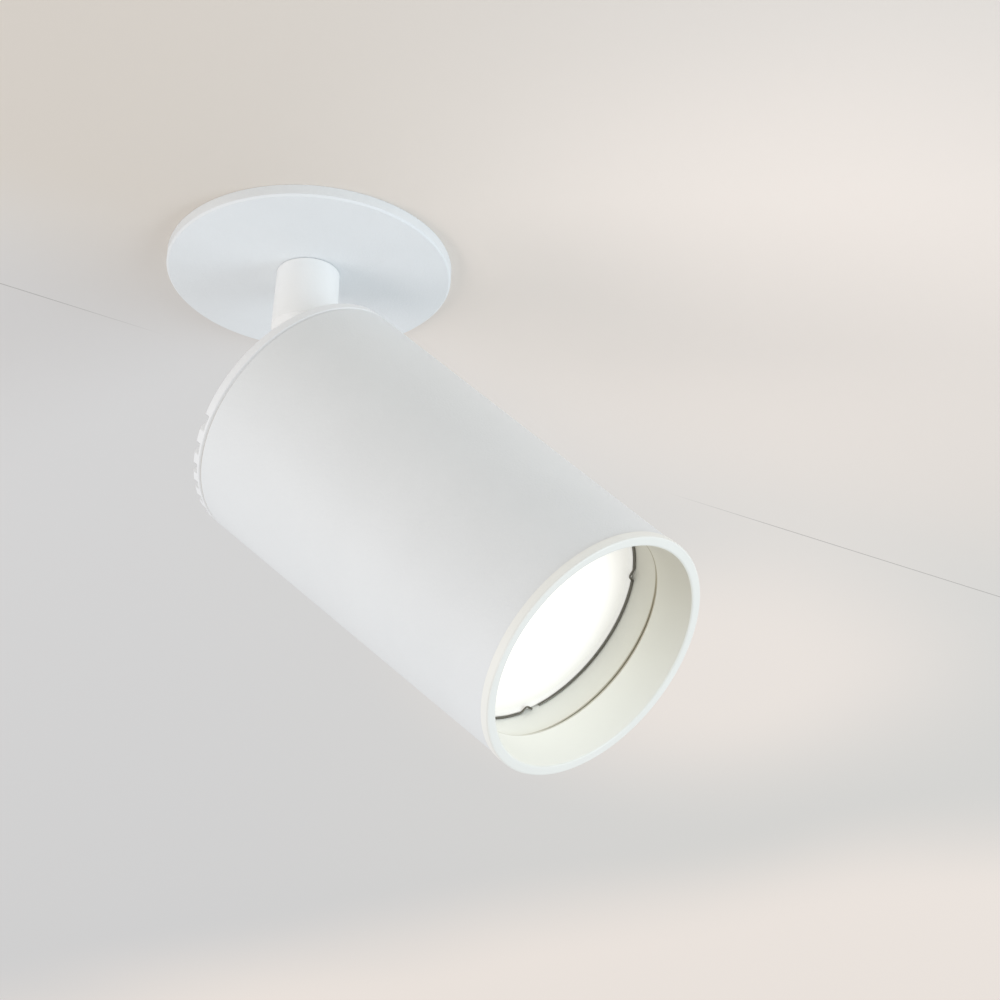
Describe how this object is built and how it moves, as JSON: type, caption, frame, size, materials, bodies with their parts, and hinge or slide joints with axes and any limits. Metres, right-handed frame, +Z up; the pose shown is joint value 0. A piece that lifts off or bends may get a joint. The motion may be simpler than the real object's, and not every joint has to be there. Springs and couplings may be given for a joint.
{
  "type": "adjustable semi-recessed ceiling spotlight",
  "caption": "White ceiling spotlight with a cylindrical head that tilts and swivels on a short stem below a round plate held in the ceiling by spring clips.",
  "frame": {"origin": "middle of the ceiling plate's upper face, which lies on the ceiling", "axes": "+Z straight up into the ceiling; the head's mouth points to -Y and down at rest; the tilt hinge lies along X and the clips are at +X and -X"},
  "size_m": [0.08, 0.1212, 0.1577],
  "materials": {
    "plate_white": "matt white powder coat",
    "head_white": "fine matt white powder coat",
    "cap_white": "satin white powder coat",
    "ring_white": "satin white powder coat",
    "stem_white": "satin white powder coat",
    "spring_steel": "bright spring steel",
    "wire_steel": "dark drawn wire",
    "zinc_steel": "zinc plated",
    "brass": "plain",
    "black_plastic": "moulded",
    "block_plastic": "moulded",
    "nylon": "smooth",
    "black_rubber": "moulded",
    "holder_ceramic": "unglazed",
    "lamp_white": "moulded",
    "lamp_lens": "frosted diffuser, lit"
  },
  "bodies": {
    "base": {"ceiling_plate": "plate_white", "right_pin": "zinc_steel", "left_pin": "zinc_steel", "right_spring": "spring_steel", "left_spring": "spring_steel", "terminal_tray": "black_plastic", "tray_screw_front": "zinc_steel", "tray_screw_back": "zinc_steel", "terminal_block": "block_plastic", "terminal_screw_1": "brass", "terminal_screw_2": "brass", "terminal_screw_3": "brass", "terminal_cover": "black_plastic", "inlet_grommet": "black_rubber"},
    "stem": {"stem": "stem_white", "glide_washer": "nylon", "stop_washer": "zinc_steel", "spring_disc": "spring_steel", "lock_nut": "zinc_steel"},
    "head": {"rear_cap": "cap_white", "lead_grommet": "black_rubber", "hinge_yoke": "zinc_steel", "right_friction_washer": "nylon", "left_friction_washer": "nylon", "hinge_bolt": "zinc_steel", "hinge_nut": "zinc_steel", "lamp_bracket": "zinc_steel", "right_yoke_screw": "zinc_steel", "left_yoke_screw": "zinc_steel", "lamp_holder": "holder_ceramic", "right_holder_screw": "zinc_steel", "left_holder_screw": "zinc_steel", "lamp_body": "lamp_white", "lamp_lens": "lamp_lens", "upper_lamp_pin": "brass", "lower_lamp_pin": "brass", "head_tube": "head_white", "front_ring": "ring_white", "lamp_sleeve": "ring_white", "wire_ring": "wire_steel"},
    "right_clip": {"right_arm": "spring_steel"},
    "left_clip": {"left_arm": "spring_steel"}
  },
  "joints": [
    {"name": "swivel", "type": "hinge", "parent": "base", "child": "stem", "pos_m": [0, 0, 0], "axis": [0, 0, 1], "range_deg": [-163, 163]},
    {"name": "tilt", "type": "hinge", "parent": "stem", "child": "head", "pos_m": [0, 0, -0.0389], "axis": [1, 0, 0], "range_deg": [-26, 46]},
    {"name": "right_clip", "type": "hinge", "parent": "base", "child": "right_clip", "pos_m": [0.019, 0, 0.0124], "axis": [0, -1, 0], "range_deg": [0, 95], "stiffness_Nm_per_rad": 0.05, "springref_deg": -91.67, "deforming": ["right_spring"]},
    {"name": "left_clip", "type": "hinge", "parent": "base", "child": "left_clip", "pos_m": [-0.019, 0, 0.0124], "axis": [0, 1, 0], "range_deg": [0, 95], "stiffness_Nm_per_rad": 0.05, "springref_deg": -91.67, "deforming": ["left_spring"]}
  ]
}
